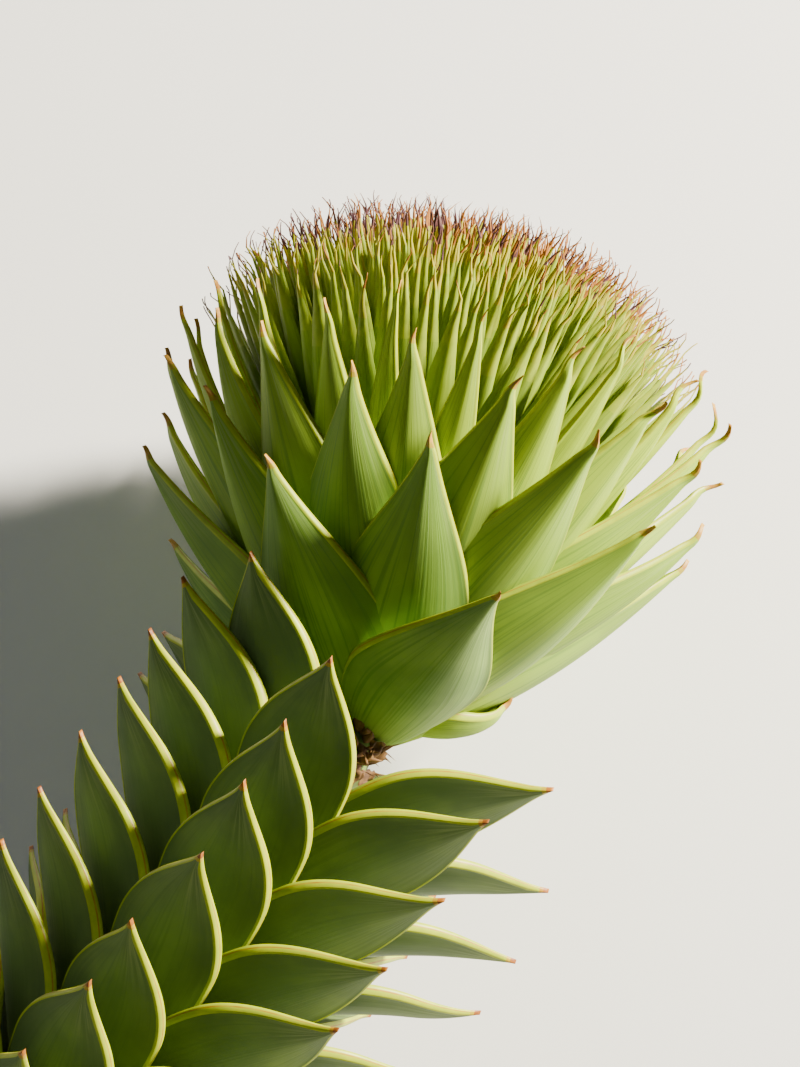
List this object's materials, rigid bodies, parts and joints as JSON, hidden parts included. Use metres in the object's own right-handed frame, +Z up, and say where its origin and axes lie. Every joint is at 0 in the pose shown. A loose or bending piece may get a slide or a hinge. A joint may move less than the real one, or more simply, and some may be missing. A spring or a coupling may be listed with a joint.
{
  "type": "cut leafy branch end of a monkey puzzle tree with a young seed cone",
  "caption": "Cut end of a monkey puzzle branch: a thick shoot clad in stiff overlapping pointed leaves, tipped by a young seed cone of broad bracts and a brush of curly awns.",
  "frame": {"origin": "centre of the bounding box's underside, on the surface that the branch lies on", "axes": "+Z up; +Y level, from the cut end towards the cone; +X to the right of someone who looks along +Y"},
  "size_m": [0.1816, 0.2342, 0.1148],
  "materials": {
    "bark": "dull brown-green rind over wood, pale fresh-cut face with rings",
    "leaf": "thick leathery dark green leaf, satin, yellow-green margins, brown spine at the tip",
    "cone_flesh": "dull pale green, almost hidden",
    "bract": "satin mid green with fine lengthwise lines, pale edges, greyish bloom near the foot",
    "awn": "satin yellow-green needle drying to orange-brown and purple-brown at its curly tip"
  },
  "bodies": {
    "root": {"stem": "bark", "leaves_1": "leaf", "leaves_2": "leaf", "leaves_3": "leaf", "leaves_4": "leaf", "leaves_5": "leaf", "cone_core": "cone_flesh", "cone_foot_bracts": "bract", "cone_side_bracts": "bract", "cone_crown": "awn"}
  },
  "joints": []
}
